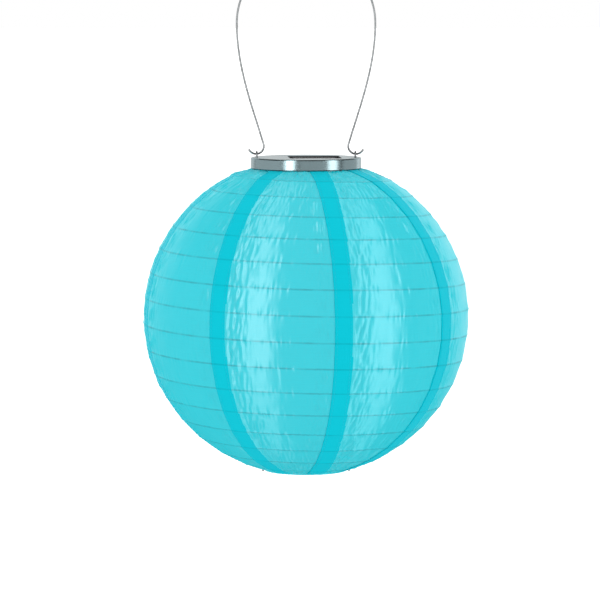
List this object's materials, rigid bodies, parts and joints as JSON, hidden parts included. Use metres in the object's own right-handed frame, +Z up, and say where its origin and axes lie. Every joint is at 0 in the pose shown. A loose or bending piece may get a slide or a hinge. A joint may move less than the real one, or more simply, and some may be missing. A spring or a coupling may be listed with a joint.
{
  "type": "hanging solar lantern",
  "caption": "Round hanging lantern: a ribbed nylon shade over a spiral wire, a flat metal lid with a solar cell, and a swinging wire handle.",
  "frame": {"origin": "where the underside of the handle's arch rests on the hook that holds the lantern", "axes": "+Z up, along the lantern's own axis; +X through the two eyes that the handle hooks into; the front faces -Y"},
  "size_m": [0.2532, 0.2532, 0.405],
  "materials": {
    "wire_steel": "bright drawn wire, plated",
    "lid_metal": "brushed stainless sheet",
    "shade_nylon": "thin satin woven nylon, slightly see-through",
    "solar_cell": "dark cell under clear resin",
    "seal_rubber": "matt black gasket",
    "collar_plastic": "fine moulded grain",
    "housing_plastic": "fine moulded grain",
    "board": "solder mask",
    "dark_plastic": "moulded",
    "led_lens": "clear moulded lens",
    "battery_wrap": "shrink film",
    "contact_metal": "plated spring strip",
    "lead_red": "flexible insulation",
    "lead_black": "flexible insulation"
  },
  "bodies": {
    "handle": {"handle_wire": "wire_steel"},
    "lantern": {"support_wire_right": "wire_steel", "support_wire_left": "wire_steel", "bottom_ring": "wire_steel", "spiral_wire": "wire_steel", "lid_shell": "lid_metal", "solar_panel": "solar_cell", "panel_seal": "seal_rubber", "module_housing": "housing_plastic", "module_cover": "housing_plastic", "circuit_board": "board", "control_chip": "dark_plastic", "inductor": "dark_plastic", "led_front": "led_lens", "led_rear": "led_lens", "contact_plate_positive": "contact_metal", "contact_plate_negative": "contact_metal", "contact_spring": "contact_metal", "housing_screw_1": "wire_steel", "housing_screw_2": "wire_steel", "switch_body": "dark_plastic", "panel_lead_positive": "lead_red", "panel_lead_negative": "lead_black", "gore_1": "shade_nylon", "gore_2": "shade_nylon", "gore_3": "shade_nylon", "gore_4": "shade_nylon", "gore_5": "shade_nylon", "gore_6": "shade_nylon", "gore_7": "shade_nylon", "gore_8": "shade_nylon"},
    "shade_collar": {"top_collar": "collar_plastic"},
    "door": {"battery_door": "housing_plastic", "door_screw": "wire_steel"},
    "cell": {"battery": "battery_wrap"},
    "switch_knob": {"switch_slider": "dark_plastic"}
  },
  "joints": [
    {"name": "handle_swing", "type": "hinge", "parent": "handle", "child": "lantern", "pos_m": [0, 0, -0.15445], "axis": [1, 0, 0], "range_deg": [-90, 90]},
    {"name": "shade_fold", "type": "slide", "parent": "lantern", "child": "shade_collar", "axis": [0, 0, -1], "range_m": [0, 0.2], "deforming": ["gore_1", "gore_2", "gore_3", "gore_4", "gore_5", "gore_6", "gore_7", "gore_8", "spiral_wire"]},
    {"name": "battery_door_slide", "type": "slide", "parent": "lantern", "child": "door", "axis": [0, 0, -1], "range_m": [0, 0.045]},
    {"name": "battery_slide", "type": "slide", "parent": "lantern", "child": "cell", "axis": [0, 0, -1], "range_m": [0, 0.03]},
    {"name": "switch_slide", "type": "slide", "parent": "lantern", "child": "switch_knob", "axis": [1, 0, 0], "range_m": [0, 0.003]}
  ],
  "couplings": [
    {"joint": "battery_slide", "follows": "battery_door_slide", "ratio": 0.6}
  ]
}
